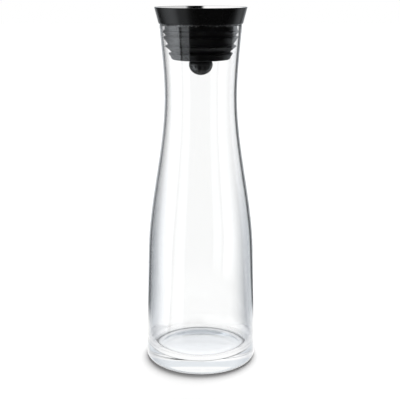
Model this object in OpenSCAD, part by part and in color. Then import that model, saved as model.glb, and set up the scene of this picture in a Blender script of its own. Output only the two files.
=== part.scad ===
// Carafe in clear glass with a stopper that opens by itself when the carafe is tipped.
// The stopper hangs in the mouth and seals there with four soft lips. Its flap lies on a
// flat seat, and a weighted ball hangs from the flap on a stem. When the carafe tips, the
// ball swings towards the low side and rocks the flap open about its far edge.
// Millimetres, +Z up, origin on the table at the carafe's axis.

/* [Carafe glass] */
// Height of the glass from the table to the rim
glass_h = 286.5; // [270:0.5:340]
// Outer radius of the body at the table, before the heel is rounded
heel_r = 47.4; // [42:0.1:56]
// Outer radius of the body where the shoulder starts to draw in
body_r = 44.7; // [40:0.1:54]
// Height where the shoulder starts
shoulder_z = 97; // [60:1:120]
// Outer radius at the waist of the neck
neck_r = 29.8; // [27:0.1:36]
// Height of the waist
neck_z = 230; // [200:1:240]
// Outer radius at the mouth
mouth_r = 33.5; // [30:0.1:40]
// Thickness of the wall
glass_wall = 2; // [1.6:0.1:2.8]
// Thickness of the floor above the table
floor_t = 9; // [6:0.5:12]
// Radius of the rounded heel
heel_round = 4; // [2:0.5:6]
// Radius of the corner between floor and wall, inside
floor_round = 14; // [6:0.5:20]
// Depth of the hollow under the base
punt_h = 1.6; // [0.5:0.1:3]
// Width of the flat ring that the carafe stands on
foot_w = 5; // [3:0.5:9]
// Radius of the two fire-polished edges of the rim
rim_round = 0.7; // [0.4:0.05:0.75]

/* [Pouring collar] */
// Height of the collar above the glass
collar_h = 13.4; // [11:0.1:18]
// How far the collar's foot would stand out past the mouth with a sharp corner
collar_overhang = 0.5; // [0.3:0.1:2]
// How far the collar flares out from foot to top
collar_flare = 3.5; // [1:0.1:6]
// Radius of the collar's lower corner
collar_round = 1.8; // [0.5:0.1:2]
// Width of the collar's top edge outside the funnel
edge_w = 1.3; // [0.8:0.1:2]
// Height of the flap's seat above the collar's foot
seat_rise = 3.6; // [3.2:0.1:4.5]
// Thickness of the moulded walls of the collar
collar_wall = 2; // [1.4:0.1:2.4]
// Width of the foot ring that rests on the rim
foot_ring_w = 3.4; // [3:0.1:4]
// Number of stiffening ribs under the funnel
rib_count = 12; // [6:1:18]
// Thickness of a rib
rib_t = 1.2; // [0.8:0.1:2]

/* [Pouring passage] */
// Inner radius of the tube that hangs in the neck
passage_r = 20; // [19:0.1:22]
// Wall of the tube
tube_wall = 1.6; // [1.3:0.1:2]
// Length of the tube below the collar's foot
tube_l = 26.6; // [25:0.2:31]
// Step between the tube and the narrower throat above it
throat_step = 0.8; // [0.6:0.1:1.2]
// Sheet thickness of the steel funnel
liner_t = 0.6; // [0.4:0.05:0.8]
// Width of the flat seat around the throat
seat_w = 3; // [2.4:0.1:4]
// Length of the funnel's skirt inside the throat
skirt_l = 4; // [3:0.5:5]

/* [Sealing sleeve] */
// Thickness of the sleeve's foot under the end of the tube
sleeve_foot = 1.5; // [1:0.1:2.5]
// Wall of the sleeve at its lower end
sleeve_wall = 1.8; // [1.2:0.1:2]
// Gap between a lip, as it is squeezed in use, and the glass
lip_gap = 0.15; // [0.1:0.05:0.4]
// Thickness of a lip at its tip
lip_t = 0.5; // [0.3:0.05:0.8]
// How far a lip's upper face drops towards its tip
lip_hook = 0.9; // [0.4:0.1:1.2]
// How far the sleeve's lower end swells out beyond its wall
sleeve_swell = 0.9; // [0:0.1:1.1]
// Radius of the sleeve's lower corner
sleeve_round = 2.2; // [0.5:0.1:2.3]
// Height of the ridge on the tube that locks the sleeve
ridge_h = 0.6; // [0.3:0.1:0.8]

/* [Guide spider] */
// Depth of the spider's top below the collar's foot
spider_drop = 6.6; // [6.2:0.1:9]
// Height of the spider
spider_h = 4; // [3:0.5:5]
// Width of the spider's outer ring
spider_ring_w = 1.5; // [1:0.1:2]
// Radius of the hole that the stem swings in, smaller than the ball
hub_hole_r = 7.5; // [7:0.1:8.5]
// Width of the ring around that hole
hub_w = 1.6; // [1:0.1:2.4]
// Number of arms
arm_count = 4; // [3:1:6]
// Thickness of an arm
arm_t = 1.8; // [1.2:0.1:3]

/* [Flap] */
// Thickness of the gasket under the flap
gasket_t = 1; // [0.8:0.1:1.4]
// Sheet thickness of the steel cap
cap_t = 0.6; // [0.4:0.05:0.8]
// Length of the cap's turned-down edge
cap_edge_h = 1.2; // [1:0.1:1.6]
// Height of the cap's dome
dome_h = 1.8; // [1:0.1:2.4]
// Depth that the carrier plugs into the throat
plug_h = 2.6; // [2:0.1:4]
// Running gap between the plug and the throat
plug_gap = 0.5; // [0.4:0.1:0.8]
// Radius of the boss that holds the stem
boss_r = 4.5; // [3.6:0.1:6]
// Length of the boss below the plug
boss_l = 4; // [2:0.5:5]

/* [Pendulum] */
// Radius of the stem
stem_r = 2; // [1.8:0.1:2.4]
// Radius of the stem's threaded end inside the ball
thread_r = 1.5; // [1.2:0.1:1.6]
// Distance from the flap's seat down to the middle of the ball
pendulum_l = 35.8; // [33:0.1:42]
// Radius of the ball at its middle
ball_r = 9.75; // [9.2:0.05:10.2]
// Height of the ball's lower half
ball_low_h = 8.7; // [8.5:0.1:10]
// Height of the ball's upper half
ball_top_h = 6.4; // [6:0.1:8]
// Wall of the ball's shells
ball_wall = 1.6; // [1.2:0.1:1.8]
// Length of the lip that joins the two shells
ball_lap = 1.2; // [0.8:0.1:1.6]
// Height of the neck on top of the ball
ball_neck_h = 1.6; // [1:0.1:2.5]
// Width of the nut across its flats
nut_w = 5.5; // [5:0.1:6.4]
// Thickness of the nut
nut_h = 2.4; // [1.8:0.1:2.6]
// Distance from the middle of the ball down to the top of the nut
nut_drop = 2.4; // [2:0.1:2.6]
// Room for a socket spanner around the nut
spanner_gap = 1; // [0.6:0.1:1.2]

/* [Hidden] */
$fn = 96;

// Gap between two pieces that are pushed together
fit = 0.05;
// Gap under a piece that only rests: the stopper on the rim, and the flap on its seat
rest_gap = 0.1;
// Length by which a cut runs past the piece that it cuts
overrun = 1;
// Length of thread that shows under the nut
thread_end = 0.6;

// Numbers of straight steps in a long wall, in a funnel or dome, in the roof of the collar's
// hollow, and in a rounded corner
wall_steps = 40;
curve_steps = 16;
roof_steps = 4;
corner_steps = 8;

// The four lips: their depths as shares of the sleeve's length, and the radii of their
// tips and of the roots between them as shares of the room around the sleeve's lower end
lip_depth_shares = [0.185, 0.345, 0.6, 0.815];
lip_tip_shares = [1, 0.97, 0.85, 0.44];
lip_root_shares = [0.68, 0.48, 0.05];
sleeve_neck_share = 0.8;
// Depth of the locking ridge as a share of the tube's length
ridge_depth_share = 0.55;
// Steepness of the mouth at the rim, as a share of its mean flare
mouth_lean_share = 1.2;
// Part of the funnel's rise that is even; the rest of it comes close to the edge
funnel_even_share = 0.45;
// Width of an arm's lower edge, and height where the arm reaches its full thickness
arm_edge_share = 0.3;
arm_taper_share = 0.4;

rim_z = glass_h;
lid_z = rim_z + rest_gap;
seat_z = lid_z + seat_rise;
flap_z = seat_z + rest_gap;
top_z = lid_z + collar_h;
collar_low_r = mouth_r + collar_overhang;
collar_top_r = collar_low_r + collar_flare;
funnel_r = collar_top_r - edge_w;
throat_r = passage_r - throat_step;
seat_r = throat_r + seat_w;
tube_r = passage_r + tube_wall;
tube_end_z = lid_z - tube_l;
ridge_z = lid_z - tube_l * ridge_depth_share;
sleeve_l = tube_l + sleeve_foot;
sleeve_end_z = lid_z - sleeve_l;
sleeve_bore_r = tube_r + fit;
sleeve_end_r = sleeve_bore_r + sleeve_wall;
spider_z = lid_z - spider_drop;
spider_low_z = spider_z - spider_h;
plug_r = throat_r - plug_gap;
groove_r = plug_r - seat_w / 2;
cap_z = flap_z + gasket_t;
cap_in_r = seat_r - cap_t;
ball_z = seat_z - pendulum_l;
ball_in_r = ball_r - ball_wall;
ball_in_low_h = ball_low_h - ball_wall;
ball_in_top_h = ball_top_h - ball_wall;
lap_r = ball_r - ball_wall / 2;
ball_neck_z = ball_z + ball_top_h + ball_neck_h;
nut_top_z = ball_z - nut_drop;
nut_corner_r = nut_w / 2 / cos(30);

// A cubic from a with slope da to b with slope db, as s goes from 0 to 1
function hermite(s, a, b, da, db) =
    a * (2 * s ^ 3 - 3 * s ^ 2 + 1) + da * (s ^ 3 - 2 * s ^ 2 + s)
    + b * (3 * s ^ 2 - 2 * s ^ 3) + db * (s ^ 3 - s ^ 2);

// Points of an arc about c, from angle a0 to angle a1
function arc(c, r, a0, a1, steps = corner_steps) =
    [for (i = [0:steps]) let (a = a0 + (a1 - a0) * i / steps) c + r * [cos(a), sin(a)]];

function reversed(points) = [for (i = [len(points) - 1:-1:0]) points[i]];

// Outer radius of the glass at height z: a slightly tapered body, a shoulder that draws
// in to the waist of the neck, and a mouth that flares out again
body_slope = (body_r - heel_r) / shoulder_z;
function shoulder(s) = hermite(s, body_r, neck_r, body_slope * (neck_z - shoulder_z), 0);
function mouth(s) =
    hermite(s, neck_r, mouth_r, 0, (mouth_r - neck_r) * mouth_lean_share);
function glass_r(z) =
    z < shoulder_z ? heel_r + body_slope * z
    : z < neck_z ? shoulder((z - shoulder_z) / (neck_z - shoulder_z))
    : mouth((z - neck_z) / (rim_z - neck_z));
function glass_bore_r(z) = glass_r(z) - glass_wall;

// Largest radius that fits in the glass at height z and still lifts out of the mouth
function room_r(z) = min(glass_bore_r(z), glass_bore_r(rim_z)) - lip_gap;

// Height of the funnel's surface at radius r: flat at the seat and steep at the edge
function funnel_z(r) =
    let (u = (r - seat_r) / (funnel_r - seat_r))
    seat_z + (top_z - seat_z) * (funnel_even_share * u + (1 - funnel_even_share) * u ^ 3);
function funnel_points(drop = 0, out = 0, from_r = seat_r, to_r = funnel_r, steps = curve_steps) =
    [for (i = [0:steps])
        let (r = from_r + (to_r - from_r) * i / steps) [r + out, funnel_z(r) - drop]];

// Half of the ball's outline, from its middle to its pole: turn is 1 up and -1 down
function half_ball(r, h, turn) =
    [for (i = [0:curve_steps])
        let (a = 90 * i / curve_steps) [r * cos(a), ball_z + turn * h * sin(a)]];
// The part of such an outline outside radius r_min, with its end on that radius
function half_ball_to(r, h, turn, r_min) =
    concat(
        [for (p = half_ball(r, h, turn)) if (p[0] > r_min) p],
        [[r_min, ball_z + turn * h * sqrt(1 - (r_min / r) ^ 2)]]);

module revolve(points) {
    rotate_extrude() polygon(points);
}

// Clear glass vessel, blown in one piece
module carafe() {
    low_z = heel_round;
    high_z = rim_z - rim_round;
    heel_c = glass_r(low_z) - heel_round;
    punt_r = heel_c - foot_w;
    inner_low_z = floor_t + floor_round;
    punt = [for (i = [0:corner_steps])
        let (u = i / corner_steps) [punt_r * u, punt_h * (1 - u ^ 2)]];
    heel = arc([heel_c, low_z], heel_round, -90, 0);
    outside = [for (i = [1:wall_steps])
        let (z = low_z + (high_z - low_z) * i / wall_steps) [glass_r(z), z]];
    lip_out = arc([glass_r(high_z) - rim_round, high_z], rim_round, 0, 90);
    lip_in = arc([glass_bore_r(high_z) + rim_round, high_z], rim_round, 90, 180);
    inside = [for (i = [1:wall_steps])
        let (z = high_z + (inner_low_z - high_z) * i / wall_steps) [glass_bore_r(z), z]];
    corner = arc([glass_bore_r(inner_low_z) - floor_round, inner_low_z], floor_round, 0, -90);
    color([0.8, 0.9, 0.92, 0.4])
        revolve(concat(punt, heel, outside, lip_out, lip_in, inside, corner, [[0, floor_t]]));
}

// Flared collar with the bed of the funnel, moulded in one with the tube in the neck
module pour_collar() {
    bed_drop = liner_t + fit;
    roof_drop = bed_drop + collar_wall;
    core_in_r = sleeve_end_r;
    core_out_r = collar_low_r - foot_ring_w;
    core_top_r = funnel_r - collar_wall;
    color("#1d1d1f") {
        difference() {
            union() {
                revolve(collar_outline(bed_drop));
                lock_ridge();
            }
            // The moulding is cored out from below, between its foot and the tube
            revolve(concat(
                [[core_in_r, lid_z - overrun], [core_out_r, lid_z - overrun]],
                reversed(funnel_points(
                    roof_drop, from_r = core_in_r, to_r = core_top_r, steps = roof_steps))));
        }
        collar_ribs(core_in_r, core_out_r, bed_drop + collar_wall / 2);
        spider_bead();
    }
}

// Outline of the collar and its tube: up the outside, down the bed and the bore
function collar_outline(bed_drop) =
    let (
        lean = atan2(collar_flare, collar_h),
        corner_c = [collar_low_r - collar_round * (1 - sin(lean)) / cos(lean),
            lid_z + collar_round],
        skirt_bed_r = throat_r + bed_drop,
        skirt_end_z = seat_z - skirt_l - fit
    )
    concat(
        [[tube_r, lid_z]],
        arc(corner_c, collar_round, -90, -lean),
        [[collar_top_r, top_z], [funnel_r + fit, top_z]],
        reversed(funnel_points(bed_drop, fit)),
        [
            [skirt_bed_r, seat_z - bed_drop],
            [skirt_bed_r, skirt_end_z],
            [throat_r, skirt_end_z],
            [throat_r, spider_z],
            [passage_r, spider_z],
            [passage_r, tube_end_z],
            [tube_r, tube_end_z]
        ]);

// Radial ribs that stiffen the funnel inside the cored-out moulding, and run up into its wall
module collar_ribs(in_r, out_r, top_drop) {
    for (i = [0:rib_count - 1])
        rotate([0, 0, 360 * i / rib_count])
            rotate([90, 0, 0])
                translate([0, 0, -rib_t / 2])
                    linear_extrude(rib_t)
                        polygon([
                            [in_r - fit, lid_z],
                            [out_r + fit, lid_z],
                            [out_r + fit, funnel_z(out_r) - top_drop],
                            [in_r - fit, funnel_z(in_r) - top_drop]
                        ]);
}

// Ridge around the tube that the sleeve snaps over
module lock_ridge() {
    revolve([
        [tube_r - fit, ridge_z - 2 * ridge_h],
        [tube_r + ridge_h, ridge_z - ridge_h],
        [tube_r + ridge_h, ridge_z + ridge_h],
        [tube_r - fit, ridge_z + 2 * ridge_h]
    ]);
}

// Bead inside the tube that the spider snaps past and then rests on
module spider_bead() {
    bead_h = throat_step / 2;
    bead_z = spider_low_z - fit;
    revolve([
        [passage_r + fit, bead_z],
        [passage_r - bead_h, bead_z],
        [passage_r - bead_h, bead_z - bead_h],
        [passage_r + fit, bead_z - 2 * bead_h]
    ]);
}

// Pressed steel funnel: pouring surface, flat seat for the flap, and a skirt in the throat
module funnel_liner() {
    skirt_r = throat_r + liner_t;
    skirt_z = seat_z - skirt_l;
    color("#c9ccd0")
        revolve(concat(
            [[throat_r, skirt_z], [throat_r, seat_z]],
            funnel_points(),
            reversed(funnel_points(liner_t)),
            [[skirt_r, seat_z - liner_t], [skirt_r, skirt_z]]));
}

// Soft sleeve around the tube, with four barbed lips that seal against the glass
module sealing_sleeve() {
    function radius(z, share) =
        sleeve_end_r + (max(room_r(z), sleeve_end_r) - sleeve_end_r) * share;
    upper_shares = concat([sleeve_neck_share], lip_root_shares);
    lips = [for (i = [0:len(lip_depth_shares) - 1])
        let (
            z = lid_z - sleeve_l * lip_depth_shares[i],
            tip = radius(z, lip_tip_shares[i])
        )
        each [[radius(z, upper_shares[i]), z + lip_hook], [tip, z], [tip, z - lip_t]]];
    end_r = sleeve_end_r + sleeve_swell;
    end_z = sleeve_end_z + sleeve_round;
    groove_h = ridge_h + fit;
    color("#262629")
        revolve(concat(
            [[sleeve_bore_r, lid_z], [radius(rim_z, sleeve_neck_share), lid_z]],
            lips,
            reversed(arc([end_r - sleeve_round, end_z], sleeve_round, -90, 0)),
            [
                [passage_r, sleeve_end_z],
                [passage_r, tube_end_z - fit],
                [sleeve_bore_r, tube_end_z - fit],
                [sleeve_bore_r, ridge_z - 2 * groove_h],
                [sleeve_bore_r + ridge_h, ridge_z - groove_h],
                [sleeve_bore_r + ridge_h, ridge_z + groove_h],
                [sleeve_bore_r, ridge_z + 2 * groove_h]
            ]));
}

// Ring, arms and hub in the tube: the stem swings in the hub, and the ball stays below it
module guide_spider() {
    ring_r = passage_r - fit;
    ring_in_r = ring_r - spider_ring_w;
    depth = spider_h - fit;
    color("#2c2c30")
        translate([0, 0, spider_low_z])
            difference() {
                union() {
                    difference() {
                        cylinder(r = ring_r, h = depth);
                        translate([0, 0, -overrun])
                            cylinder(r = ring_in_r, h = depth + 2 * overrun);
                    }
                    cylinder(r = hub_hole_r + hub_w, h = depth);
                    spider_arms(hub_hole_r + hub_w / 2, ring_in_r + spider_ring_w / 2, depth);
                }
                translate([0, 0, -overrun])
                    cylinder(r = hub_hole_r, h = depth + 2 * overrun);
            }
}

// Arms that narrow towards their lower edge, to part the stream
module spider_arms(from_r, to_r, depth) {
    half = arm_t / 2;
    edge = half * arm_edge_share;
    full_z = depth * arm_taper_share;
    for (i = [0:arm_count - 1])
        rotate([0, 0, 360 * (i + 0.5) / arm_count])
            translate([from_r, 0, 0])
                rotate([90, 0, 90])
                    linear_extrude(to_r - from_r)
                        polygon([[-edge, 0], [edge, 0], [half, full_z], [half, depth],
                            [-half, depth], [-half, full_z]]);
}

// Height of the cap's underside at radius r
function dome_z(r) = cap_z + cap_edge_h + dome_h * (1 - (r / cap_in_r) ^ 2);

// Domed steel cap with a turned-down edge: the part of the flap that shows
module flap_cap() {
    step = cap_in_r / curve_steps;
    under = [for (i = [0:curve_steps]) [step * i, dome_z(step * i)]];
    over = [for (p = under) [p[0] * seat_r / cap_in_r, p[1] + cap_t]];
    color("#c9ccd0")
        revolve(concat(under, [[cap_in_r, cap_z], [seat_r, cap_z]], reversed(over)));
}

// Plastic carrier: fills the cap, grips the gasket, plugs into the throat, holds the stem
module flap_carrier() {
    edge_r = cap_in_r - fit;
    plug_z = flap_z - plug_h;
    boss_z = plug_z - boss_l;
    step = edge_r / curve_steps;
    color("#2c2c30")
        difference() {
            revolve(concat(
                [for (i = [0:curve_steps]) [step * i, dome_z(step * i) - fit]],
                [
                    [edge_r, cap_z],
                    [groove_r, cap_z],
                    [groove_r, flap_z],
                    [plug_r, flap_z],
                    [plug_r, plug_z],
                    [boss_r, plug_z],
                    [boss_r, boss_z],
                    [0, boss_z]
                ]));
            translate([0, 0, boss_z - overrun])
                cylinder(r = stem_r + fit, h = flap_z - boss_z + overrun);
        }
}

// Soft flat ring, stretched over the plug into the carrier's groove
module flap_gasket() {
    in_r = groove_r + fit;
    top = cap_z - fit;
    color("#3a3a3d")
        revolve([
            [in_r, flap_z + fit],
            [throat_r, flap_z + fit],
            [throat_r + fit, flap_z],
            [seat_r, flap_z],
            [seat_r, top],
            [in_r, top]
        ]);
}

// Steel stem with a shoulder on the ball's neck and a threaded end inside the ball
module pendulum_stem() {
    end_z = nut_top_z - nut_h - thread_end;
    color("#b5b8bc")
        revolve([
            [0, end_z],
            [thread_r, end_z],
            [thread_r, ball_neck_z + fit],
            [stem_r, ball_neck_z + fit],
            [stem_r, flap_z - fit],
            [0, flap_z - fit]
        ]);
}

// Upper half of the ball: hangs from the stem's shoulder and overlaps the lower half
module ball_upper_shell() {
    bore_r = thread_r + fit;
    neck_r_out = stem_r + ball_wall;
    rebate_z = ball_z + ball_lap;
    inner = [for (p = half_ball_to(ball_in_r, ball_in_top_h, 1, bore_r))
        if (p[1] > rebate_z) p];
    rebate_in_r = ball_in_r * sqrt(1 - (ball_lap / ball_in_top_h) ^ 2);
    color("#202022")
        revolve(concat(
            half_ball_to(ball_r, ball_top_h, 1, neck_r_out),
            [[neck_r_out, ball_neck_z], [bore_r, ball_neck_z]],
            reversed(inner),
            [[rebate_in_r, rebate_z], [lap_r, rebate_z], [lap_r, ball_z]]));
}

// Lower half of the ball, with a lip that snaps into the upper half
module ball_lower_shell() {
    lip_r = lap_r - fit;
    lip_z = ball_z + ball_lap - fit;
    color("#202022")
        revolve(concat(
            [[lip_r, ball_z]],
            half_ball(ball_r, ball_low_h, -1),
            reversed(half_ball(ball_in_r, ball_in_low_h, -1)),
            [[ball_in_r, lip_z], [lip_r, lip_z]]));
}

// Turned steel slug that fills the ball and gives the pendulum its weight
module ball_weight() {
    slug_r = ball_in_r - fit;
    pocket_z = ball_z - ball_low_h;
    color("#8f9297")
        difference() {
            revolve(concat(
                reversed(half_ball(slug_r, ball_in_low_h - fit, -1)),
                half_ball(slug_r, ball_in_top_h - fit, 1)));
            translate([0, 0, pocket_z])
                cylinder(r = thread_r + fit, h = ball_low_h + ball_top_h);
            translate([0, 0, pocket_z])
                cylinder(r = nut_corner_r + spanner_gap, h = nut_top_z - pocket_z);
        }
}

// Hexagon nut that pulls the slug and the upper shell up against the stem's shoulder
module weight_nut() {
    color("#b5b8bc")
        translate([0, 0, nut_top_z - nut_h])
            difference() {
                cylinder(r = nut_corner_r, h = nut_h, $fn = 6);
                translate([0, 0, -overrun])
                    cylinder(r = thread_r + fit, h = nut_h + 2 * overrun);
            }
}

carafe();
pour_collar();
funnel_liner();
sealing_sleeve();
guide_spider();
flap_cap();
flap_carrier();
flap_gasket();
pendulum_stem();
ball_upper_shell();
ball_lower_shell();
ball_weight();
weight_nut();
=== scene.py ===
# %% [markdown]
# # A glass carafe with a pouring stopper
#
# The object is a tall carafe of clear blown glass. A black stopper hangs in its mouth: a
# moulded collar with a steel funnel on top, a soft sleeve with four barbed lips against the
# glass, and a weighted ball on a stem that rocks a steel flap open when the carafe is tipped.
#
# The construction comes ready made, as a frame of solids that sit where the real pieces sit.
# This lesson dresses that frame. First the packed model is loaded, and its box is kept, so
# that the dressed object can be compared with it at the end.

# %% Load the frame
import math

import bpy
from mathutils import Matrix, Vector


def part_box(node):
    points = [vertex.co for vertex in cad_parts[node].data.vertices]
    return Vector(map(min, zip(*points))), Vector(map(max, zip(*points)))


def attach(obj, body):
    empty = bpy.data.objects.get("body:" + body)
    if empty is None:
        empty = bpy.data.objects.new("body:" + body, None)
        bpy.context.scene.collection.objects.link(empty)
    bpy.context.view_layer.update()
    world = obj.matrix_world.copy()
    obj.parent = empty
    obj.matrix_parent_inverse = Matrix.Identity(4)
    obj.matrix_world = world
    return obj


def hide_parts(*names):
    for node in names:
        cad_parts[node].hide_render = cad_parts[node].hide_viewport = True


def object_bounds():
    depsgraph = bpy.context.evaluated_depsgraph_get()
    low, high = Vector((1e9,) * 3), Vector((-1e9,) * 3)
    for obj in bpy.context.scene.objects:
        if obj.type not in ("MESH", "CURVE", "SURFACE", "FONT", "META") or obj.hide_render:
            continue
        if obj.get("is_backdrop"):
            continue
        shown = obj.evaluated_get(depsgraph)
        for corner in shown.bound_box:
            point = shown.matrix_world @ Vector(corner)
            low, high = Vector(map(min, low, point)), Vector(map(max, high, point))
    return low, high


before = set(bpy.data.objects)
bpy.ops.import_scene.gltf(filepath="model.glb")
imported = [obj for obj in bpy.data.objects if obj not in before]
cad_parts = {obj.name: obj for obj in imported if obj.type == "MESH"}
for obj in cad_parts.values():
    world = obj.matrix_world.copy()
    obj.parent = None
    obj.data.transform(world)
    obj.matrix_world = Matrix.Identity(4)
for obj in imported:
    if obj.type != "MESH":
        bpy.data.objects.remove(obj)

MM = 0.001
cad_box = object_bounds()
print("size in mm:", [round(side / MM, 1) for side in cad_box[1] - cad_box[0]])

# %% [markdown]
# ## Reading places off the frame
#
# Each piece that is made finer here still has to sit exactly where its solid sits. So its
# heights and radii are read off the solid's own box, and only what a box can't tell, such as
# the thickness of a wall, is written down as a size. All outlines are in millimetres.

# %% Heights and radii of a node


def bottom(node):
    """Height of a node's lowest point, in millimetres."""
    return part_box(node)[0].z / MM


def top(node):
    """Height of a node's highest point, in millimetres."""
    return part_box(node)[1].z / MM


def radius(node):
    """Largest radius of a round node about the carafe's axis, in millimetres."""
    low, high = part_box(node)
    return (high.x - low.x) / 2 / MM


for name in sorted(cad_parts):
    print(f"{name}: z {bottom(name):.1f} to {top(name):.1f}, radius {radius(name):.1f}")

# %% [markdown]
# ## Camera
#
# The photograph was taken a little above the carafe's shoulder and tilted down, with a long
# lens. A long lens keeps the sides of the glass nearly parallel. The picture is square, so
# the focal length, the tilt and the distance were worked out from the height of the carafe
# in the picture and from how open the ellipses at the mouth and the base are.

# %% Set up the camera
IMAGE_SIDE_PX = 400
SENSOR_MM = 36
FOCAL_PX = 851.2
CAMERA_TILT = math.radians(14.374)
CAMERA_PLACE = Vector((-0.00066, -0.701, 0.3195))


def make_camera():
    data = bpy.data.cameras.new("studio_camera")
    data.sensor_width = SENSOR_MM
    data.lens = FOCAL_PX * SENSOR_MM / IMAGE_SIDE_PX
    camera = bpy.data.objects.new("studio_camera", data)
    camera.location = CAMERA_PLACE
    camera.rotation_euler = (math.pi / 2 - CAMERA_TILT, 0, 0)
    bpy.context.collection.objects.link(camera)
    bpy.context.scene.camera = camera
    return camera


bpy.context.scene.view_settings.view_transform = "Standard"
print(f"lens {make_camera().data.lens:.1f} mm")

# %% [markdown]
# ## Shader maths as plain expressions
#
# A finish is built from nodes, and most of them only add, multiply or compare numbers. The
# class Wire wraps one output socket, so that an expression such as `1 - mask * 0.3` adds
# the Math nodes by itself. Masks are numbers from 0 to 1: above and between make them, and
# pick chooses between two values with one.

# %% Wires


class Wire:
    """An output socket that can stand in a sum like a number."""

    def __init__(self, tree, socket):
        self.tree = tree
        self.socket = socket

    def out(self, name):
        """Another output of the same node."""
        return Wire(self.tree, self.socket.node.outputs[name])

    def maths(self, operation, *others):
        """A Math node that takes this value first and then the others."""
        return self.tree.add("Math", {"operation": operation}, dict(enumerate((self, *others))))

    def __add__(self, other):
        return self.maths("ADD", other)

    def __sub__(self, other):
        return self.maths("SUBTRACT", other)

    def __rsub__(self, other):
        return self.tree.add("Math", {"operation": "SUBTRACT"}, {0: other, 1: self})

    def __mul__(self, other):
        return self.maths("MULTIPLY", other)

    def __pow__(self, other):
        return self.maths("POWER", other)

    __radd__ = __add__
    __rmul__ = __mul__

    def above(self, level, soft):
        """0 below level and 1 above level + soft, with a smooth step between them."""
        values = {"Value": self, "From Min": level, "From Max": level + soft}
        return self.tree.add("MapRange", {"interpolation_type": "SMOOTHSTEP"}, values)

    def between(self, low, high, rise, fall):
        """1 from low to high and 0 outside; the steps inside the ends are rise and fall wide."""
        return self.above(low, rise) * (1 - self.above(high - fall, fall))

    def pick(self, first, second):
        """first where this mask is 0 and second where it is 1."""
        return (1 - self) * first + self * second


print("a wire knows", ", ".join(name for name in vars(Wire) if not name.startswith("_")))

# %% [markdown]
# Any other node comes from one method, Tree.add, which takes the node's type, its settings
# and what goes into its sockets. Colours pass through Mix nodes, because a Math node would
# turn them grey. A Mix node has one set of sockets for each kind of value, so those that it
# uses for colours are called by their numbers.

# %% Trees
MIX_SHARE, MIX_FIRST, MIX_SECOND, MIX_RESULT = 0, 6, 7, 2


class Tree:
    """The nodes of one material, or of the world. Its lengths are in metres."""

    def __init__(self, owner):
        owner.use_nodes = True
        self.nodes = owner.node_tree.nodes
        self.links = owner.node_tree.links
        self.nodes.clear()

    def add(self, kind, settings=None, sockets=None):
        """A new node: its settings first, then a value or a wire for each named socket."""
        node = self.nodes.new("ShaderNode" + kind)
        for name, value in (settings or {}).items():
            setattr(node, name, value)
        for name, value in (sockets or {}).items():
            if isinstance(value, Wire):
                self.links.new(value.socket, node.inputs[name])
            else:
                node.inputs[name].default_value = value
        return Wire(self, node.outputs[0]) if node.outputs else node

    def mix(self, share, first, second):
        """A colour between first and second."""
        sockets = {MIX_SHARE: share, MIX_FIRST: first, MIX_SECOND: second}
        return self.add("Mix", {"data_type": "RGBA"}, sockets).out(MIX_RESULT)

    def point(self):
        """The point on the piece, as a vector."""
        return self.add("TexCoord").out("Object")

    def place(self):
        """The point as the wires x, y and z, and its distance from the axis."""
        x = self.add("SeparateXYZ", sockets={"Vector": self.point()})
        y, z = x.out("Y"), x.out("Z")
        return x, y, z, (x * x + y * y) ** 0.5

    def noise(self, size, detail=3, stretch=(1, 1, 1)):
        """Cloudy noise from 0 to 1 whose features are about size metres across."""
        stretched = self.add("Mapping", sockets={"Vector": self.point(), "Scale": stretch})
        sockets = {"Vector": stretched, "Scale": 1 / size, "Detail": detail}
        return self.add("TexNoise", sockets=sockets)

    def bump(self, height, depth, normal=None):
        """Normal for a relief that is depth metres deep where height goes from 0 to 1."""
        sockets = {"Height": height, "Distance": depth, "Strength": 1}
        if normal:
            sockets["Normal"] = normal
        return self.add("Bump", sockets=sockets)


def new_material(name):
    material = bpy.data.materials.new(name)
    return material, Tree(material)


def finished(material, tree, surface):
    """The material, with its surface connected and its nodes counted."""
    tree.add("OutputMaterial", sockets={"Surface": surface})
    print(f"{material.name}: {len(tree.nodes)} nodes")
    return material


def grey(level):
    return (level, level, level, 1)


print("a tree makes", ", ".join(name for name in vars(Tree) if not name.startswith("_")))

# %% [markdown]
# ## Studio
#
# Glass and glossy black show nothing but their surroundings, so the studio does most of the
# work. It is a white sweep: floor and backdrop look pure white to the camera, and also to
# rays that pass through the glass. Gloss sees panels of slightly cool light instead: a wide
# one at the left, a dimmer strip beside it, a narrow one at the right, and the backdrop
# behind. The front is dark, which keeps black pieces black.
#
# One thing gives glass its drawn outline: light that has been thrown about inside the wall
# comes from the dark far corners of a studio. Here a ray that was reflected on its way
# through the glass sees the panels, but a dark backdrop, so the outline shows from every side.

# %% What gloss and glass see
PANELS = [
    # from, to, width of the soft start and end (degrees round from the camera, positive
    # to the right), brightness
    (-134, -63, 60, 2, 1.9),
    (-58, -33, 2, 2, 0.8),
    (104, 140, 2, 12, 0.84),
]
BACKDROP_TURN = math.radians(140)
BACKDROP_EDGE = math.radians(12)
CORNER_TURN = math.radians(110)
CORNER_EDGE = 0.1
FRONT_GLOW = 0.008
BACKDROP_GLOW = 0.9
LEFT_CORNER_GLOW = 0.3
RIGHT_CORNER_GLOW = 0.14
PANEL_TINT = (0.92, 0.96, 1, 1)


def studio_glow(x, y, thrown):
    """Brightness that gloss, and a ray thrown about in the glass, see in direction x, y."""
    turn = x.maths("ARCTAN2", 0 - y)
    away = turn.maths("ABSOLUTE")
    corner = turn.above(0, CORNER_EDGE).pick(LEFT_CORNER_GLOW, RIGHT_CORNER_GLOW)
    backdrop = thrown.pick(BACKDROP_GLOW, corner)
    start = thrown.pick(BACKDROP_TURN, CORNER_TURN)
    glow = FRONT_GLOW + backdrop * away.above(start, BACKDROP_EDGE)
    for *turns, brightness in PANELS:
        glow = glow + brightness * turn.between(*map(math.radians, turns))
    return glow


print(len(PANELS), "panels of light beside the backdrop")

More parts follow.
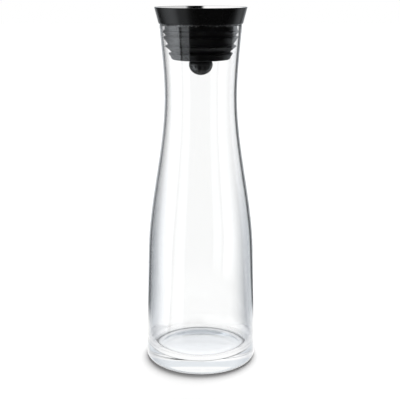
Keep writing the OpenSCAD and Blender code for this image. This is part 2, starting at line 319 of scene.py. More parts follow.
# %% [markdown]
# The Light Path node tells what kind of ray is looking, and how often it was reflected or
# passed a face of the glass before. These are whole numbers, so a step that starts on one
# number and ends before the next makes a clean mask.

# %% Tell the rays apart
COUNT_EDGE = 0.5


def rays(tree):
    """Light Path as three masks: rays with a plain view, also straight through glass; rays
    that see the panels; and those of them that were thrown about inside the glass."""
    path = tree.add("LightPath")
    camera = path.out("Is Camera Ray")
    through = path.out("Is Transmission Ray")
    thrown = through * path.out("Glossy Depth").above(0, COUNT_EDGE)
    plain = camera.maths("MAXIMUM", through) * (1 - thrown)
    gloss = path.out("Is Glossy Ray") * (1 - plain)
    return plain, gloss, thrown


print("three kinds of rays: plain, gloss and thrown")

# %% [markdown]
# The world is the room's air: white to the eye, panels to gloss, and a plain even level to
# everything else, so that a colour renders about as it is written. Overhead, two soft boxes
# light the funnel, with a dark gap between them that gives the polished steel its contrast.
# A ray that was thrown about in the glass sees one even glow up there instead.

# %% World
ROOM_LEVEL = 0.32
CEILING_RISE = 0.26
CEILING_EDGE = 0.16
CEILING_PANELS = [
    # from, to (sideways share of the direction, positive to the right), brightness
    (-1.2, -0.02, 1.25),
    (0.34, 1.2, 0.85),
]
CEILING_PANEL_EDGE = 0.1
THROWN_RISE = 0.1
THROWN_GLOW = 0.88


def make_world():
    world = bpy.data.worlds.new("white_studio")
    bpy.context.scene.world = world
    tree = Tree(world)
    x = tree.add("SeparateXYZ", sockets={"Vector": tree.add("TexCoord").out("Generated")})
    y, rise = x.out("Y"), x.out("Z")
    plain, gloss, thrown = rays(tree)
    overhead = sum(bright * x.between(start, end, CEILING_PANEL_EDGE, CEILING_PANEL_EDGE)
                   for start, end, bright in CEILING_PANELS)
    ceiling = rise.above(CEILING_RISE, CEILING_EDGE) * (1 - thrown)
    glow = ceiling.pick(studio_glow(x, y, thrown), overhead)
    glow = glow.maths("MAXIMUM", THROWN_GLOW * thrown * rise.above(THROWN_RISE, CEILING_EDGE))
    level = plain + gloss * glow + ROOM_LEVEL * (1 - plain - gloss)
    colour = tree.mix(gloss * (1 - ceiling), grey(1), PANEL_TINT)
    background = tree.add("Background", sockets={"Color": colour, "Strength": level})
    tree.add("OutputWorld", sockets={"Surface": background})
    print(f"{world.name}: {len(tree.nodes)} nodes")


make_world()

# %% [markdown]
# The floor is matt white paper. Seen by the eye or through glass it also glows a little, so
# that open floor is pure white and only the shadow at the foot of the carafe stays. Under
# the base it glows more, which stands for the light that thick glass gathers there.
#
# Gloss sees on it the same panels as in the air, so that a reflection runs on without a
# break, and plain white close to the foot. What hangs inside the carafe mirrors a dimmer
# foot, because that light comes up through the thick base: such a ray has crossed four
# faces of the glass. From below the paper is clear, so that a camera there can see the
# underside of the carafe.

# %% Floor
FLOOR_SIDE = 12
FLOOR_PAPER = 0.92
FLOOR_LIFT = 0.07
BASE_LIFT, BASE_RADIUS, BASE_EDGE = 0.22, 0.043, 0.002
FOOT_GLOW, FOOT_RADIUS, FOOT_EDGE = 1.0, 0.08, 0.08
HUNG_GLOW, HUNG_CROSSINGS = 0.35, 3


def white_paper():
    material, tree = new_material("white_paper")
    x, y, _, out = tree.place()
    plain, gloss, thrown = rays(tree)
    lift = plain * (FLOOR_LIFT + BASE_LIFT * (1 - out.above(BASE_RADIUS, BASE_EDGE)))
    paper = tree.add("AddShader", sockets={
        0: tree.add("BsdfDiffuse", sockets={"Color": grey(FLOOR_PAPER)}),
        1: tree.add("Emission", sockets={"Color": grey(1), "Strength": lift})})
    foot = 1 - out.above(FOOT_RADIUS, FOOT_EDGE)
    crossings = tree.add("LightPath").out("Transmission Depth")
    hung = thrown * crossings.above(HUNG_CROSSINGS, COUNT_EDGE)
    glow = foot.pick(studio_glow(x, y, thrown), hung.pick(FOOT_GLOW, HUNG_GLOW))
    colour = tree.mix(foot, PANEL_TINT, grey(1))
    panels = tree.add("Emission", sockets={"Color": colour, "Strength": glow})
    surface = tree.add("MixShader", sockets={0: gloss, 1: paper, 2: panels})
    below = plain * tree.add("NewGeometry").out("Backfacing")
    clear = tree.add("BsdfTransparent")
    return finished(
        material, tree, tree.add("MixShader", sockets={0: below, 1: surface, 2: clear}))


def make_floor():
    half = FLOOR_SIDE / 2
    mesh = bpy.data.meshes.new("studio_floor")
    corners = [(-half, -half, 0), (half, -half, 0), (half, half, 0), (-half, half, 0)]
    mesh.from_pydata(corners, [], [(0, 1, 2, 3)])
    mesh.materials.append(white_paper())
    floor = bpy.data.objects.new("studio_floor", mesh)
    bpy.context.collection.objects.link(floor)
    return floor


floor = make_floor()
floor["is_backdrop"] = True

# %% [markdown]
# One large soft lamp overhead, a little behind and to the right, gives the shadow its side:
# it falls to the front left. It lights surfaces but doesn't show in gloss or glass, because
# the panels are what shows there.

# %% Overhead lamp
LAMP_STRENGTH = 3.1
LAMP_SPREAD = math.radians(48)
LAMP_LEAN = (math.radians(-33), math.radians(6), 0)


def make_lamp():
    data = bpy.data.lights.new("overhead_lamp", "SUN")
    data.energy = LAMP_STRENGTH
    data.angle = LAMP_SPREAD
    lamp = bpy.data.objects.new("overhead_lamp", data)
    lamp.rotation_euler = LAMP_LEAN
    lamp.visible_glossy = False
    lamp.visible_transmission = False
    lamp.visible_camera = False
    bpy.context.collection.objects.link(lamp)
    return lamp


print("lamp:", make_lamp().name)

# %% [markdown]
# ## Turned shapes
#
# Nearly every piece here is round, so it is turned: an outline in the plane of radius and
# height goes round the axis. An outline is a list of points, and a corner that real tools
# would leave rounded gets a small arc, because a rounded edge catches a line of light and a
# sharp one doesn't. A piece could also be made with the Screw modifier, but rings of points
# made in code give even quads and full control over where the poles lie.

# %% Outlines
EASE_LIMIT_SHARE = 0.48  # most of a side that the rounding of one corner takes up


def smooth_curve(share, start, end, start_slope, end_slope):
    """A cubic curve from start to end, with the given slopes, as share goes from 0 to 1."""
    return (start * (2 * share ** 3 - 3 * share ** 2 + 1)
            + start_slope * (share ** 3 - 2 * share ** 2 + share)
            + end * (3 * share ** 2 - 2 * share ** 3)
            + end_slope * (share ** 3 - share ** 2))


def steps(count):
    """Shares from 0 to 1 in count even steps."""
    return [i / count for i in range(count + 1)]


def arc(centre, size, start, end, count=10):
    """Points of an arc, with angles in degrees from straight out, upwards."""
    angles = [math.radians(start + (end - start) * share) for share in steps(count)]
    return [(centre[0] + size * math.cos(a), centre[1] + size * math.sin(a)) for a in angles]


def eased(points, count=5):
    """An outline whose corners are rounded. A point with a third number has that radius."""
    corners = [Vector(point[:2]) for point in points]
    made = []
    for i, (corner, point) in enumerate(zip(corners, points)):
        before = corners[i - 1] - corner
        after = corners[(i + 1) % len(corners)] - corner
        if len(point) < 3 or before.length == 0 or after.length == 0:
            made.append(tuple(corner))
            continue
        limit = EASE_LIMIT_SHARE * min(before.length, after.length)
        reach = min(point[2] / math.tan(before.angle(after) / 2), limit)
        start = corner + before.normalized() * reach
        end = corner + after.normalized() * reach
        for share in steps(count):
            bend = start.lerp(corner, share).lerp(corner.lerp(end, share), share)
            made.append(tuple(bend))
    return made


print("a right-angled corner, eased:", eased([(0, 0), (2, 0, 0.5), (2, 2)], 2)[1:4])

# %% [markdown]
# The outline becomes a mesh of rings. A closed outline makes a ring-shaped solid, and one
# that starts and ends on the axis makes a full one, with a single point at each pole. Edges
# that turn more sharply than SHARP_EDGE stay crisp, and the rest is shaded smooth.

# %% Turn an outline into a piece
SHARP_EDGE = math.radians(38)
FINE_SIDES, SIDES, SMALL_SIDES = 256, 192, 128


def turned_mesh(outline, sides):
    """Vertices and faces of an outline turned about the Z axis, in metres."""
    full = outline[0][0] == 0 and outline[-1][0] == 0
    verts, rings = [], []
    for out, up in outline:
        around = sides if out > 0 else 1
        rings.append(range(len(verts), len(verts) + around))
        for k in range(around):
            angle = 2 * math.pi * k / sides
            verts.append((out * math.cos(angle) * MM, out * math.sin(angle) * MM, up * MM))
    faces = []
    pairs = zip(rings, rings[1:]) if full else zip(rings, rings[1:] + rings[:1])
    for one, two in pairs:
        for k in range(sides):
            following = (k + 1) % sides
            loop = [one[k % len(one)], one[following % len(one)],
                    two[following % len(two)], two[k % len(two)]]
            faces.append(list(dict.fromkeys(loop)))
    return verts, faces


def new_piece(name, verts, faces, material, body):
    """A shaded mesh object that rides on a body."""
    mesh = bpy.data.meshes.new(name)
    mesh.from_pydata(verts, [], faces)
    mesh.validate()
    mesh.shade_smooth()
    mesh.set_sharp_from_angle(angle=SHARP_EDGE)
    mesh.materials.append(material)
    piece = bpy.data.objects.new(name, mesh)
    bpy.context.collection.objects.link(piece)
    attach(piece, body)
    print(f"{name}: {len(mesh.vertices)} points, {len(mesh.polygons)} faces, on {body}")
    return piece


def turned(name, outline, material, body, sides=SIDES):
    return new_piece(name, *turned_mesh(outline, sides), material, body)


verts, faces = turned_mesh([(0, 0), (2, 0), (0, 2)], 4)
print(f"a cone of 4 sides: {len(verts)} points, {len(faces)} faces")

# %% [markdown]
# ## Clear glass
#
# Blown glass is clear, with almost no colour, and it is seen by what it does at its edges.
# The shader is plain glass with the refraction of soda-lime glass, a very faint ripple and a
# few smudges. Three things are added. Where the wall turns away from the eye its colour is
# darkened, which is painted shade; on the wide body it draws a soft grey band beside the
# outline. Light that is trapped in the thick base is reflected there again and again,
# and the render gives up on such rays and leaves them black, so they are let out after a few
# turns. And lamps shine through the glass: a shadow ray passes, weakened most by the thick
# heel, so the foot of the carafe has a soft dark contact shadow and the rest hardly any.

# %% Finish: clear glass
GLASS_IOR = 1.5
GLASS_CLEAR = (0.997, 1, 0.999, 1)
# Colours of the painted edge shade, on the neck and on the body
NECK_EDGE_SHADE = (0.925, 0.915, 0.92, 1)
BODY_EDGE_SHADE = (0.56, 0.58, 0.61, 1)
NECK_START_Z, NECK_BLEND = 0.1, 0.12
# Where the painted edge shade shows, from 0 facing the eye to 1 seen edge on
NECK_BAND = (0.25, 0.6)  # start, width of the soft start
BODY_BAND = (0.2, 0.86, 0.4, 0.14)  # from, to, width of the soft start and end
RIPPLE_SIZE, RIPPLE_DEPTH = 0.03, 0.00001
SMUDGE_SIZE, SMUDGE_FROM, SMUDGE_EDGE, SMUDGE_ROUGH = 0.018, 0.62, 0.2, 0.015
TRAPPED_DEPTH = 3
HEEL_INNER_R, HEEL_INNER_EDGE = 0.0405, 0.003
HEEL_FADE_Z, HEEL_FADE = 0.002, 0.016
HEEL_SHADE = 0.03
WALL_SHADE = 0.985


def clear_glass():
    material, tree = new_material("clear_glass")
    *_, z, out = tree.place()
    facing = tree.add("LayerWeight").out("Facing")
    neck = z.above(NECK_START_Z, NECK_BLEND)
    # Painted shade: the glass's colour darkens where the wall is seen edge on, most on the wide
    # body
    edge_on = neck.pick(facing.between(*BODY_BAND), facing.above(*NECK_BAND))
    colour = tree.mix(edge_on, GLASS_CLEAR, tree.mix(neck, BODY_EDGE_SHADE, NECK_EDGE_SHADE))
    smudges = tree.noise(SMUDGE_SIZE, detail=4).above(SMUDGE_FROM, SMUDGE_EDGE)
    glass = tree.add("BsdfPrincipled", sockets={
        "Base Color": colour, "Roughness": SMUDGE_ROUGH * smudges, "IOR": GLASS_IOR,
        "Transmission Weight": 1,
        "Normal": tree.bump(tree.noise(RIPPLE_SIZE, detail=1), RIPPLE_DEPTH)})
    heel = out.above(HEEL_INNER_R, HEEL_INNER_EDGE) * (1 - z.above(HEEL_FADE_Z, HEEL_FADE))
    path = tree.add("LightPath")
    lamp = path.out("Is Shadow Ray").maths("MAXIMUM", path.out("Is Diffuse Ray"))
    trapped = path.out("Glossy Depth").above(TRAPPED_DEPTH, COUNT_EDGE)
    clear = (lamp * (1 - heel)).maths("MAXIMUM", trapped)
    dim = tree.add("BsdfTransparent", sockets={"Color": grey(HEEL_SHADE)})
    bright = tree.add("BsdfTransparent", sockets={"Color": grey(WALL_SHADE)})
    surface = tree.add("MixShader", sockets={0: lamp, 1: glass, 2: dim})
    return finished(
        material, tree, tree.add("MixShader", sockets={0: clear, 1: surface, 2: bright}))


glass = clear_glass()

# %% [markdown]
# ## Carafe
#
# The outline of the glass is three curves: a body that tapers slightly, a shoulder that
# draws in to a waist, and a mouth that flares. The base is thick, with a hollow underneath
# so that the carafe stands on a ring, and a rounded corner inside. The rim is fire-polished,
# which melts its edges round.

# %% Outline of the glass
RIM_Z = top("carafe")
HEEL_R, BODY_R, SHOULDER_Z = 47.4, 44.7, 97
NECK_R, NECK_Z = 29.8, 230
MOUTH_R = 33.5
GLASS_WALL, FLOOR_T = 2, 9
HEEL_ROUND, FLOOR_ROUND, RIM_ROUND = 4, 14, 0.7
PUNT_H, FOOT_W = 1.6, 5
MOUTH_LEAN_SHARE = 1.2
BODY_SLOPE = (BODY_R - HEEL_R) / SHOULDER_Z
WALL_STEPS, PUNT_STEPS, HEEL_STEPS, RIM_STEPS, FLOOR_STEPS = 72, 10, 12, 8, 16


def glass_r(z):
    """Outer radius of the glass at height z."""
    if z < SHOULDER_Z:
        return HEEL_R + BODY_SLOPE * z
    if z < NECK_Z:
        share = (z - SHOULDER_Z) / (NECK_Z - SHOULDER_Z)
        return smooth_curve(share, BODY_R, NECK_R, BODY_SLOPE * (NECK_Z - SHOULDER_Z), 0)
    share = (z - NECK_Z) / (RIM_Z - NECK_Z)
    return smooth_curve(share, NECK_R, MOUTH_R, 0, (MOUTH_R - NECK_R) * MOUTH_LEAN_SHARE)


def bore_r(z):
    return glass_r(z) - GLASS_WALL


for z in (SHOULDER_Z, NECK_Z, RIM_Z):
    print(f"at {z:.1f} mm: {2 * glass_r(z):.1f} mm wide, with a bore of {2 * bore_r(z):.1f} mm")

# %% [markdown]
# The outline starts in the middle of the hollow, goes out over the heel, up the outside,
# round the rim and down the inside, and ends in the middle of the inner floor.

# %% Carafe of clear glass


def carafe_outline():
    rim_low = RIM_Z - RIM_ROUND
    heel_c = glass_r(HEEL_ROUND) - HEEL_ROUND
    punt_r = heel_c - FOOT_W
    corner_z = FLOOR_T + FLOOR_ROUND
    punt = [(punt_r * s, PUNT_H * (1 - s ** 2)) for s in steps(PUNT_STEPS)]
    heel = arc((heel_c, HEEL_ROUND), HEEL_ROUND, -90, 0, HEEL_STEPS)
    outside = [HEEL_ROUND + (rim_low - HEEL_ROUND) * s for s in steps(WALL_STEPS)][1:]
    rim_out = arc((glass_r(rim_low) - RIM_ROUND, rim_low), RIM_ROUND, 0, 90, RIM_STEPS)
    rim_in = arc((bore_r(rim_low) + RIM_ROUND, rim_low), RIM_ROUND, 90, 180, RIM_STEPS)
    inside = [rim_low + (corner_z - rim_low) * s for s in steps(WALL_STEPS)][1:]
    corner = arc((bore_r(corner_z) - FLOOR_ROUND, corner_z), FLOOR_ROUND, 0, -90, FLOOR_STEPS)
    return (punt + heel + [(glass_r(z), z) for z in outside] + rim_out[1:] + rim_in
            + [(bore_r(z), z) for z in inside] + corner[1:] + [(0, FLOOR_T)])


carafe = turned("carafe_glass", carafe_outline(), glass, "carafe", FINE_SIDES)
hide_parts("carafe")

# %% [markdown]
# ## Black moulded plastic
#
# The collar and the ball are moulded in black plastic with a satin finish. Such a surface is
# never one flat black: it has a grain as fine as 0.2 mm, its gloss changes a little where
# hands have rubbed it, and fine dust greys it here and there.

# %% Finish: black plastic
PLASTIC_IOR = 1.5
TONE_DARK, TONE_LIGHT = 0.8, 1.25  # times the colour, in the darkest and lightest patches
RUBBED_SIZE, RUBBED_CHANGE = 0.012, 0.1
SPECK_SIZE, SPECK_FROM, SPECK_EDGE, SPECK_SHARE = 0.0007, 0.68, 0.1, 0.12
DUST_GREY = 0.12
GRAIN_SIZE, GRAIN_DEPTH = 0.00022, 0.000006
WAVE_SIZE, WAVE_DEPTH = 0.006, 0.000012


def moulded_plastic(name, colour, gloss, shine=0.5):
    """Satin moulded plastic: colour is its level, gloss its mean roughness."""
    material, tree = new_material(name)
    rubbed = tree.noise(RUBBED_SIZE)
    specks = tree.noise(SPECK_SIZE, detail=2).above(SPECK_FROM, SPECK_EDGE) * SPECK_SHARE
    base = tree.mix(rubbed, grey(colour * TONE_DARK), grey(colour * TONE_LIGHT))
    grain = tree.bump(tree.noise(GRAIN_SIZE, detail=2), GRAIN_DEPTH)
    roughness = gloss - RUBBED_CHANGE / 2 + RUBBED_CHANGE * (rubbed + specks)
    return finished(material, tree, tree.add("BsdfPrincipled", sockets={
        "Base Color": tree.mix(specks, base, grey(DUST_GREY)), "Roughness": roughness,
        "IOR": PLASTIC_IOR, "Specular IOR Level": shine,
        "Normal": tree.bump(tree.noise(WAVE_SIZE, detail=1), WAVE_DEPTH, grain)}))


black_plastic = moulded_plastic("black_plastic", colour=0.003, gloss=0.28, shine=0.35)

# %% [markdown]
# ## Pouring collar
#
# One moulding makes the flared collar, the bed that carries the steel funnel, and the tube
# that hangs in the neck. The places that its neighbours share come first: the sleeve sits on
# the same tube, and the funnel lies on the same curve and reaches into the same throat.

# %% Places that the pieces of the stopper share
LID_GAP, SEAT_RISE, FIT = 0.1, 3.6, 0.05
LID_Z = RIM_Z + LID_GAP
COLLAR_TOP_Z = top("pour_collar")
COLLAR_TOP_R = radius("pour_collar")
EDGE_W = 1.3
FUNNEL_R = COLLAR_TOP_R - EDGE_W
PASSAGE_R, TUBE_WALL, THROAT_STEP = 20, 1.6, 0.8
THROAT_R = PASSAGE_R - THROAT_STEP
TUBE_R = PASSAGE_R + TUBE_WALL
TUBE_END_Z = bottom("pour_collar")
SEAT_W = 3
SEAT_R = THROAT_R + SEAT_W
SEAT_Z = LID_Z + SEAT_RISE
LINER_T, SKIRT_L = 0.6, 4
BED_DROP = LINER_T + FIT
EVEN_SHARE = 0.45
FINE_ROUND, EDGE_ROUND, END_ROUND = 0.1, 0.2, 0.3
RIDGE_H, RIDGE_PLACE_SHARE = 0.6, 0.55
RIDGE_Z = LID_Z - (LID_Z - TUBE_END_Z) * RIDGE_PLACE_SHARE


def funnel_z(r):
    """Height of the pouring surface at radius r."""
    share = (r - SEAT_R) / (FUNNEL_R - SEAT_R)
    return SEAT_Z + (COLLAR_TOP_Z - SEAT_Z) * (EVEN_SHARE * share + (1 - EVEN_SHARE) * share ** 3)


def funnel_points(drop=0, out=0, start=SEAT_R, end=FUNNEL_R, count=24):
    """Points of the pouring surface, moved down by drop and outwards by out."""
    radii = [start + (end - start) * s for s in steps(count)]
    return [(r + out, funnel_z(r) - drop) for r in radii]


def ridge(r, reach):
    """Points of the ridge that locks the sleeve, upwards from radius r; reach is half its crest."""
    return [(r, RIDGE_Z - 2 * reach), (r + RIDGE_H, RIDGE_Z - reach),
            (r + RIDGE_H, RIDGE_Z + reach), (r, RIDGE_Z + 2 * reach)]


print(f"funnel {COLLAR_TOP_Z - SEAT_Z:.1f} mm deep, its seat {2 * SEAT_R:.1f} mm wide")

# %% [markdown]
# From below the collar is cored out between foot and tube, as any moulding is that must not
# sink while it cools. Its edges have small radii, and the top edge shows as a thin line of
# light. A ridge around the tube locks the sleeve, and a bead inside it carries the spider.

# %% Collar outline
COLLAR_FLARE = 3.5
COLLAR_LOW_R = COLLAR_TOP_R - COLLAR_FLARE
COLLAR_ROUND, TOP_ROUND, BRIM_ROUND, CORE_ROUND = 1.8, 0.22, 0.12, 0.068
COLLAR_WALL, SLEEVE_WALL = 2, 1.8
FOOT_RING_W = 3.4
CORE_OUT_R = COLLAR_LOW_R - FOOT_RING_W
SLEEVE_END_R = TUBE_R + FIT + SLEEVE_WALL
BEAD_H = THROAT_STEP / 2


def collar_outline():
    core_roof = funnel_points(BED_DROP + COLLAR_WALL, 0, SLEEVE_END_R, FUNNEL_R - COLLAR_WALL)
    bed = funnel_points(BED_DROP, FIT)
    skirt_r = THROAT_R + BED_DROP
    skirt_z = SEAT_Z - SKIRT_L - FIT
    spider_z = top("guide_spider") + FIT
    bead_r = PASSAGE_R - BEAD_H
    bead_z = bottom("guide_spider") - FIT
    return eased(
        [(TUBE_R, LID_Z), (SLEEVE_END_R, LID_Z, EDGE_ROUND), *core_roof,
         (CORE_OUT_R, LID_Z, CORE_ROUND), (COLLAR_LOW_R, LID_Z, COLLAR_ROUND),
         (COLLAR_TOP_R, COLLAR_TOP_Z, TOP_ROUND), (FUNNEL_R + FIT, COLLAR_TOP_Z, BRIM_ROUND),
         *bed[::-1][1:], (skirt_r, SEAT_Z - BED_DROP), (skirt_r, skirt_z),
         (THROAT_R, skirt_z, FINE_ROUND), (THROAT_R, spider_z), (PASSAGE_R, spider_z),
         (PASSAGE_R, bead_z), (bead_r, bead_z, FINE_ROUND),
         (bead_r, bead_z - BEAD_H, FINE_ROUND), (PASSAGE_R, bead_z - 2 * BEAD_H),
         (PASSAGE_R, TUBE_END_Z, END_ROUND), (TUBE_R, TUBE_END_Z, END_ROUND),
         *ridge(TUBE_R, RIDGE_H)])


print(len(collar_outline()), "points in the collar's outline")

# %% [markdown]
# Twelve ribs stiffen the funnel's bed from below. A rib is a thin upright plate, so it is two
# copies of one outline, half a thickness to each side of a plane through the axis, joined
# around. The ribs become part of the same mesh.

# %% Collar with its ribs
RIB_COUNT, RIB_T = 12, 1.2


def rib(angle):
    """Vertices and faces of one rib at an angle about the axis, in metres."""
    inner, outer = SLEEVE_END_R - FIT, CORE_OUT_R + FIT
    drop = BED_DROP + COLLAR_WALL / 2
    side = [(inner, LID_Z), (outer, LID_Z), (outer, funnel_z(outer) - drop),
            (inner, funnel_z(inner) - drop)]
    along = Vector((math.cos(angle), math.sin(angle), 0))
    across = Vector((-math.sin(angle), math.cos(angle), 0)) * RIB_T / 2
    up = Vector((0, 0, 1))
    verts = [tuple((along * r + across * turn + up * z) * MM)
             for turn in (-1, 1) for r, z in side]
    around = [(k, (k + 1) % 4, (k + 1) % 4 + 4, k + 4) for k in range(4)]
    return verts, [(3, 2, 1, 0), (4, 5, 6, 7)] + around


def collar_mesh():
    verts, faces = turned_mesh(collar_outline(), SIDES)
    for i in range(RIB_COUNT):
        more, plates = rib(2 * math.pi * i / RIB_COUNT)
        faces += [tuple(k + len(verts) for k in face) for face in plates]
        verts += more
    return verts, faces


collar = new_piece("collar_moulding", *collar_mesh(), black_plastic, "stopper")
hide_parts("pour_collar")

# %% [markdown]
# ## Polished steel
#
# The funnel and the flap's cap are pressed from stainless sheet and polished on a lathe. The
# polish leaves very fine rings about the axis, far too fine to see one by one, which draw a
# highlight out across them. Fingers leave marks that are a little darker and rougher.

# %% Finish: polished steel
RING_SIZE, RING_DEPTH = 0.00035, 0.0000012
FINGER_SIZE, FINGER_FROM, FINGER_EDGE, FINGER_ROUGH = 0.006, 0.5, 0.3, 0.08
FINGER_TONE = (0.93, 0.935, 0.94)


def polished_steel(name, level, gloss):
    """Steel turned or polished about the Z axis: level is its brightness, gloss its roughness."""
    material, tree = new_material(name)
    *_, z, out = tree.place()
    section = tree.add("CombineXYZ", sockets={0: out, 1: z})
    rings = tree.add("TexNoise", sockets={"Vector": section, "Scale": 1 / RING_SIZE, "Detail": 3})
    fingers = tree.noise(FINGER_SIZE, detail=4).above(FINGER_FROM, FINGER_EDGE)
    dull = (*(level * tone for tone in FINGER_TONE), 1)
    return finished(material, tree, tree.add("BsdfPrincipled", sockets={
        "Base Color": tree.mix(fingers, grey(level), dull), "Metallic": 1,
        "Roughness": gloss + FINGER_ROUGH * fingers, "Normal": tree.bump(rings, RING_DEPTH)}))


steel = polished_steel("polished_steel", level=0.82, gloss=0.1)

# %% [markdown]
# ## Funnel
#
# The funnel is one pressing: a bowl that rises steeply to its edge, a flat seat where the
# flap lies, and a short skirt that goes down into the throat. The bends of pressed sheet
# always have a radius.

# %% Funnel liner
BEND_ROUND = 0.5


def funnel_outline():
    *inside, brim = funnel_points()
    *outside, under_brim = funnel_points(LINER_T)
    skirt_z = SEAT_Z - SKIRT_L
    return eased(
        [(THROAT_R, skirt_z, FINE_ROUND), (THROAT_R, SEAT_Z, BEND_ROUND), *inside,
         (*brim, FINE_ROUND), under_brim, *outside[:0:-1],
         (SEAT_R, SEAT_Z - LINER_T), (THROAT_R + LINER_T, SEAT_Z - LINER_T),
         (THROAT_R + LINER_T, skirt_z, FINE_ROUND)])


funnel = turned("funnel_sheet", funnel_outline(), steel, "stopper")
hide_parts("funnel_liner")

# %% [markdown]
# ## Flap cap
#
# The part of the flap that shows is a shallow steel dome with its edge turned down over the
# plastic carrier. It is the same polished sheet as the funnel.

# %% Cap of the flap
CAP_T, CAP_EDGE_H = 0.6, 1.2
CAP_Z = bottom("flap_cap")
CAP_R = radius("flap_cap")
DOME_H = top("flap_cap") - CAP_Z - CAP_EDGE_H - CAP_T
DOME_ROUND, DOME_STEPS = 0.45, 24


def cap_outline():
    inner_r = CAP_R - CAP_T
    shares = steps(DOME_STEPS)
    under = [(inner_r * s, CAP_Z + CAP_EDGE_H + DOME_H * (1 - s ** 2)) for s in shares]
    over = [(CAP_R * s, z + CAP_T) for s, (_, z) in zip(shares, under)]
    edge = [(inner_r, CAP_Z, FINE_ROUND), (CAP_R, CAP_Z, EDGE_ROUND), (*over[-1], DOME_ROUND)]
    return eased([*under, *edge, *over[:-1][::-1]])


cap = turned("flap_dome", cap_outline(), steel, "flap")
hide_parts("flap_cap")

# %% [markdown]
# ## Silicone rubber
#
# Silicone is duller than the collar, clouded by handling, and it takes up lint, which lies
# on it in fine grey flecks.

# %% Finish: silicone rubber
SILICONE_IOR = 1.42
SILICONE_LIGHT = 1.3
CLOUD_SIZE, CLOUD_ROUGH = 0.007, 0.12
LINT_SIZE, LINT_STRETCH = 0.0009, (1, 1, 0.4)
LINT_FROM, LINT_EDGE, LINT_SHARE, LINT_GREY = 0.66, 0.12, 0.05, 0.14
SKIN_SIZE, SKIN_DEPTH = 0.00018, 0.000004


def silicone(name, colour, gloss, shine=0.4):
    """Satin rubber: colour is its level, gloss its least roughness."""
    material, tree = new_material(name)
    cloud = tree.noise(CLOUD_SIZE, detail=4)
    lint = tree.noise(LINT_SIZE, stretch=LINT_STRETCH).above(LINT_FROM, LINT_EDGE)
    base = tree.mix(cloud, grey(colour * TONE_DARK), grey(colour * SILICONE_LIGHT))
    return finished(material, tree, tree.add("BsdfPrincipled", sockets={
        "Base Color": tree.mix(LINT_SHARE * lint, base, grey(LINT_GREY)),
        "Roughness": gloss + CLOUD_ROUGH * cloud, "IOR": SILICONE_IOR,
        "Specular IOR Level": shine,
        "Normal": tree.bump(tree.noise(SKIN_SIZE, detail=2), SKIN_DEPTH)}))


black_silicone = silicone("black_silicone", colour=0.002, gloss=0.27, shine=0.42)

# %% [markdown]
# ## Soft sleeve
#
# The sleeve is stretched over the tube. Its four lips are barbs: each one is nearly flat on
# top and tapers in below its thin tip, so the stopper goes in easily and holds. The lips
# follow the flare of the mouth: each one's root and tip stand at a share of the way from the
# sleeve's wall to the glass.

# %% Sleeve with its four lips
SLEEVE_END_Z = bottom("sealing_sleeve")
SLEEVE_L = LID_Z - SLEEVE_END_Z
SLEEVE_SWELL, SLEEVE_ROUND = 0.9, 2.2
LIP_GAP, LIP_T, LIP_HOOK = 0.15, 0.5, 0.9
LIP_ROOT_ROUND, LIP_TIP_ROUND = 0.35, 0.12
LIP_DEPTH_SHARES = [0.185, 0.345, 0.6, 0.815]
LIP_TIP_SHARES = [1, 0.97, 0.85, 0.44]
LIP_ROOT_SHARES = [0.8, 0.68, 0.48, 0.05]


def sleeve_r(z, share):
    """Radius at height z, a share of the way from the sleeve's wall to the glass."""
    room = min(bore_r(z), bore_r(RIM_Z)) - LIP_GAP
    return SLEEVE_END_R + (max(room, SLEEVE_END_R) - SLEEVE_END_R) * share


def sleeve_outline():
    points = [(TUBE_R + FIT, LID_Z), (sleeve_r(RIM_Z, LIP_ROOT_SHARES[0]), LID_Z)]
    for depth, tip_share, root_share in zip(LIP_DEPTH_SHARES, LIP_TIP_SHARES, LIP_ROOT_SHARES):
        z = LID_Z - SLEEVE_L * depth
        tip = sleeve_r(z, tip_share)
        points += [(sleeve_r(z, root_share), z + LIP_HOOK, LIP_ROOT_ROUND),
                   (tip, z, LIP_TIP_ROUND), (tip, z - LIP_T, LIP_TIP_ROUND)]
    end_c = (SLEEVE_END_R + SLEEVE_SWELL - SLEEVE_ROUND, SLEEVE_END_Z + SLEEVE_ROUND)
    points += arc(end_c, SLEEVE_ROUND, 0, -90)
    points += [(PASSAGE_R, SLEEVE_END_Z, END_ROUND), (PASSAGE_R, TUBE_END_Z - FIT),
               (TUBE_R + FIT, TUBE_END_Z - FIT)]
    return eased(points + ridge(TUBE_R + FIT, RIDGE_H + FIT))


sleeve = turned("sleeve_lips", sleeve_outline(), black_silicone, "stopper")
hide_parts("sealing_sleeve")

# %% [markdown]
# ## Ball
#
# The ball hides the steel weight. It is two moulded shells that snap together at the middle,
# where a fine groove shows, and the upper one ends in a short neck on the stem. Each shell
# is half an ellipse outside and another inside, so one function makes all four curves.

# %% Curves of the ball
BALL_R = radius("ball_lower_shell")
BALL_Z = bottom("ball_upper_shell")
BALL_LOW_H = BALL_Z - bottom("ball_lower_shell")
BALL_NECK_Z, BALL_NECK_H = top("ball_upper_shell"), 1.6
BALL_TOP_H = BALL_NECK_Z - BALL_NECK_H - BALL_Z
BALL_WALL, BALL_LAP = 1.6, 1.2
LAP_R = BALL_R - BALL_WALL / 2
INNER_R = BALL_R - BALL_WALL
STEM_R, THREAD_R = 2, 1.5
SEAM_ROUND, NECK_ROUND, LAP_ROUND = 0.25, 0.5, 0.15


def half_ball(r, height, start, end, count=24):
    """Points of an ellipse about the ball's middle, between two angles in degrees."""
    angles = [math.radians(start + (end - start) * s) for s in steps(count)]
    return [(r * math.cos(a), BALL_Z + height * math.sin(a)) for a in angles]


def angle_at(r, ball_r):
    """Angle in degrees at which an ellipse of radius ball_r has come in to radius r."""
    return math.degrees(math.acos(r / ball_r))


print(f"ball {2 * BALL_R:.1f} mm wide and {BALL_LOW_H + BALL_TOP_H:.1f} mm high")

# %% [markdown]
# The shells overlap in a step behind the groove, half a wall thick on each side. The lower
# shell is full at the bottom, so its two curves end exactly on the axis.

# %% Ball of two shells


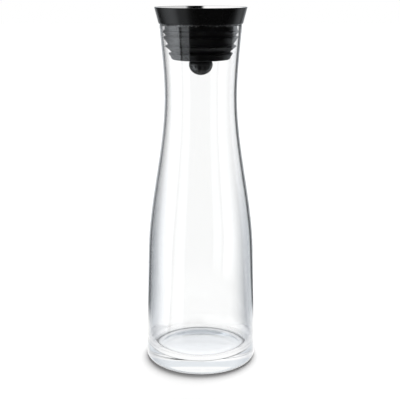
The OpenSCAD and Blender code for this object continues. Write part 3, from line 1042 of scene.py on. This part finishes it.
def upper_outline():
    inner_h = BALL_TOP_H - BALL_WALL
    neck_r, bore = STEM_R + BALL_WALL, THREAD_R + FIT
    rise = math.degrees(math.asin(BALL_LAP / inner_h))
    seam, *outside, foot = half_ball(BALL_R, BALL_TOP_H, 0, angle_at(neck_r, BALL_R))
    inside = half_ball(INNER_R, inner_h, rise, angle_at(bore, INNER_R))
    return eased(
        [(*seam, SEAM_ROUND), *outside, (*foot, NECK_ROUND), (neck_r, BALL_NECK_Z, END_ROUND),
         (bore, BALL_NECK_Z), *inside[::-1], (LAP_R, BALL_Z + BALL_LAP), (LAP_R, BALL_Z)])


def lower_outline():
    inner_h = BALL_LOW_H - BALL_WALL
    lip_r, lip_z = LAP_R - FIT, BALL_Z + BALL_LAP - FIT
    outside = half_ball(BALL_R, -BALL_LOW_H, 90, 0)[1:-1]
    inside = half_ball(INNER_R, -inner_h, 0, 90)[:-1]
    return eased(
        [(0, BALL_Z - BALL_LOW_H), *outside, (BALL_R, BALL_Z, SEAM_ROUND), (lip_r, BALL_Z),
         (lip_r, lip_z, LAP_ROUND), (INNER_R, lip_z, LAP_ROUND), *inside, (0, BALL_Z - inner_h)])


ball_plastic = moulded_plastic("ball_plastic", colour=0.008, gloss=0.28, shine=0.75)
for name, node, outline in (
        ("ball_top", "ball_upper_shell", upper_outline()),
        ("ball_bottom", "ball_lower_shell", lower_outline())):
    shell = turned(name, outline, ball_plastic, "flap", SMALL_SIDES)
    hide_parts(node)

# %% [markdown]
# ## Pieces that keep their own shape
#
# The spider, the flap's carrier and gasket, the stem, the weight and its nut are right as
# they come. They only need a finish, and it goes into the slots of their meshes.

# %% Finishes for the inner pieces
KEPT = {
    "guide_spider": moulded_plastic("spider_plastic", colour=0.03, gloss=0.45),
    "flap_carrier": moulded_plastic("carrier_plastic", colour=0.03, gloss=0.42),
    "flap_gasket": silicone("gasket_silicone", colour=0.045, gloss=0.55),
    "pendulum_stem": polished_steel("stem_steel", level=0.6, gloss=0.2),
    "ball_weight": polished_steel("weight_steel", level=0.5, gloss=0.32),
    "weight_nut": polished_steel("nut_steel", level=0.62, gloss=0.25),
}
for node, material in KEPT.items():
    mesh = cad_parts[node].data
    mesh.materials.clear()
    mesh.materials.append(material)
    print(node, "in", material.name)

# %% [markdown]
# ## Measure and finish
#
# The dressed object must fill the same box as the frame. Both boxes are printed, so that
# their sizes can be compared.

# %% Compare the boxes
shown_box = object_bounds()
boxes = {"cad": [list(corner) for corner in cad_box],
         "visual": [list(corner) for corner in shown_box]}
for label, (low, high) in boxes.items():
    print(label, [round((b - a) / MM, 2) for a, b in zip(low, high)])
